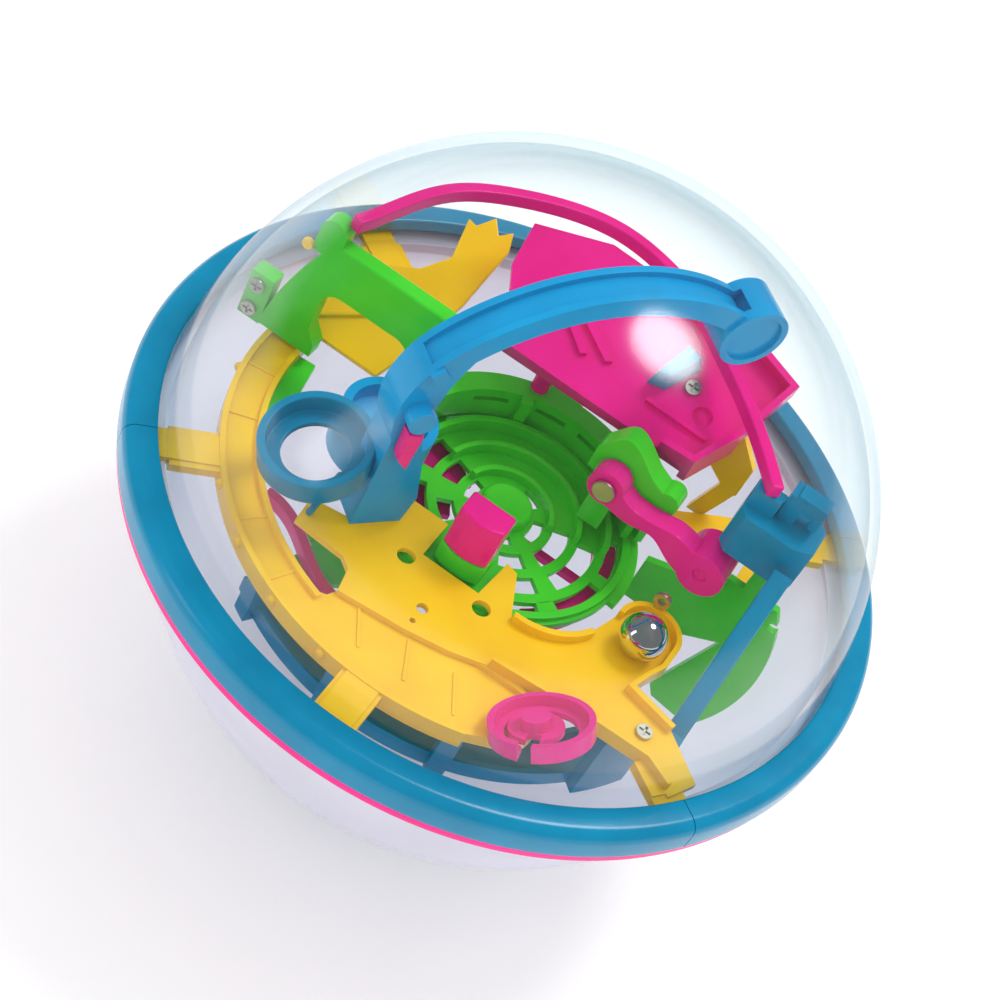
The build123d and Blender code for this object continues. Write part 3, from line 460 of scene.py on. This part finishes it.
one_ball = grid_faces(STOP_STEPS, 2 * STOP_STEPS, wrap_columns=True).reshape(-1, 4)
stop_faces = one_ball[None] + (np.arange(len(stop_angles)) * len(local))[:, None, None]
stops = mesh_piece("track_stops", stop_points, stop_faces, plastics["yellow_abs"], "globe")
print(stops.name, "has", len(stop_angles), "stops on the ring track")

# %% [markdown]
# ## Table and light
#
# The puzzle stands on a plain pale table. One large round softbox hangs nearly overhead and gives
# the soft highlight on top of the dome. A low, narrow one at the front left draws the pale streak
# on the dome's side, and a white room fills the shadows. The room is seen in full by the camera,
# but a mirroring surface sees a fifth of it, or the shine would turn every plastic pale.

# %% Floor
FLOOR_HALF = 4.0
GRAIN_MM = 25
floor_z = -SPHERE_R
floor_mesh = bpy.data.meshes.new("table_top")
corners = np.array([[-1, -1], [1, -1], [1, 1], [-1, 1]]) * FLOOR_HALF
floor_mesh.from_pydata([(x, y, floor_z) for x, y in corners.tolist()], [], [(0, 1, 2, 3)])
floor_material, floor_tree, floor_output = new_material("matt_white_laminate")
grain = add_node(floor_tree, "TexNoise", sockets={"Scale": 1 / (GRAIN_MM * MM)},
                 links={"Vector": add_node(floor_tree, "TexCoord").outputs["Object"]})
floor_rough = add_node(floor_tree, "MapRange", sockets={"To Min": 0.75, "To Max": 0.85},
                       links={"Value": grain.outputs["Fac"]})
laminate = add_node(floor_tree, "BsdfPrincipled",
                    sockets={"Base Color": linear("#FBFBFB"), "Specular IOR Level": 0.1},
                    links={"Roughness": floor_rough.outputs["Result"]})
floor_tree.links.new(laminate.outputs["BSDF"], floor_output.inputs["Surface"])
floor_mesh.materials.append(floor_material)
floor = bpy.data.objects.new("table_top", floor_mesh)
scene.collection.objects.link(floor)
print("table top at", round(floor_z / MM, 1), "mm")

# %% Softboxes and the white room


def softbox(name, direction, distance, size, power, shape="DISK", height=None):
    """Area light at a distance in a direction from the sphere's centre, facing the centre."""
    light = bpy.data.lights.new(name, "AREA")
    light.shape = shape
    light.size = size
    if height:
        light.size_y = height
    light.energy = power
    lamp = bpy.data.objects.new(name, light)
    away = Vector(direction).normalized()
    facing = away.to_track_quat("Z", "Y").to_matrix().to_4x4()
    lamp.matrix_world = Matrix.Translation(away * distance) @ facing
    scene.collection.objects.link(lamp)
    return lamp


softbox("overhead_softbox", (0.19, 0.371, 0.909), distance=0.95, size=0.32, power=3.6)
softbox("side_softbox", (-0.726, -0.61, 0.317), distance=0.8, size=0.16, power=0.45,
        shape="RECTANGLE", height=0.40)
ROOM_SEEN, ROOM_DIFFUSE, ROOM_MIRRORED = 1.0, 1.05, 0.2
world = bpy.data.worlds.new("white_room")
world.use_nodes = True
scene.world = world
room = world.node_tree
background = room.nodes["Background"]
background.inputs["Color"].default_value = linear("#FFFFFF")
ray = add_node(room, "LightPath")
softened = add_node(room, "Mix", fields={"data_type": "FLOAT"},
                    sockets={2: ROOM_DIFFUSE, 3: ROOM_MIRRORED}, links={0: ray.outputs["Is Glossy Ray"]})
strength = add_node(room, "Mix", fields={"data_type": "FLOAT"}, sockets={3: ROOM_SEEN},
                    links={0: ray.outputs["Is Camera Ray"], 2: softened.outputs[0]})
room.links.new(strength.outputs[0], background.inputs["Strength"])
print("lights:", [light.name for light in bpy.data.lights])

# %% [markdown]
# ## Camera
#
# The camera looks down on the band at 45 degrees and is rolled, so that the puzzle seems to lean.
# Its three axes are written as unit vectors and turned together about Z.

# %% Camera
CAMERA_PLACE = (0.02646, -0.24726, 0.24737)
CAMERA_TURN = radians(6.5)
CAMERA_LENS = 75.33
camera_axes = (Vector((0.86295, 0.35729, 0.35729)), Vector((-0.50528, 0.61020, 0.61020)),
               Vector((0, -0.70711, 0.70711)))
turn = Matrix.Rotation(CAMERA_TURN, 3, "Z")
camera_data = bpy.data.cameras.new("camera")
camera_data.lens = CAMERA_LENS
camera = bpy.data.objects.new("camera", camera_data)
camera.matrix_world = (Matrix.Translation(CAMERA_PLACE)
                       @ Matrix([turn @ axis for axis in camera_axes]).transposed().to_4x4())
scene.collection.objects.link(camera)
scene.camera = camera
scene.view_settings.view_transform = "Standard"
print("camera", round(camera.location.length / MM), "mm from the centre")
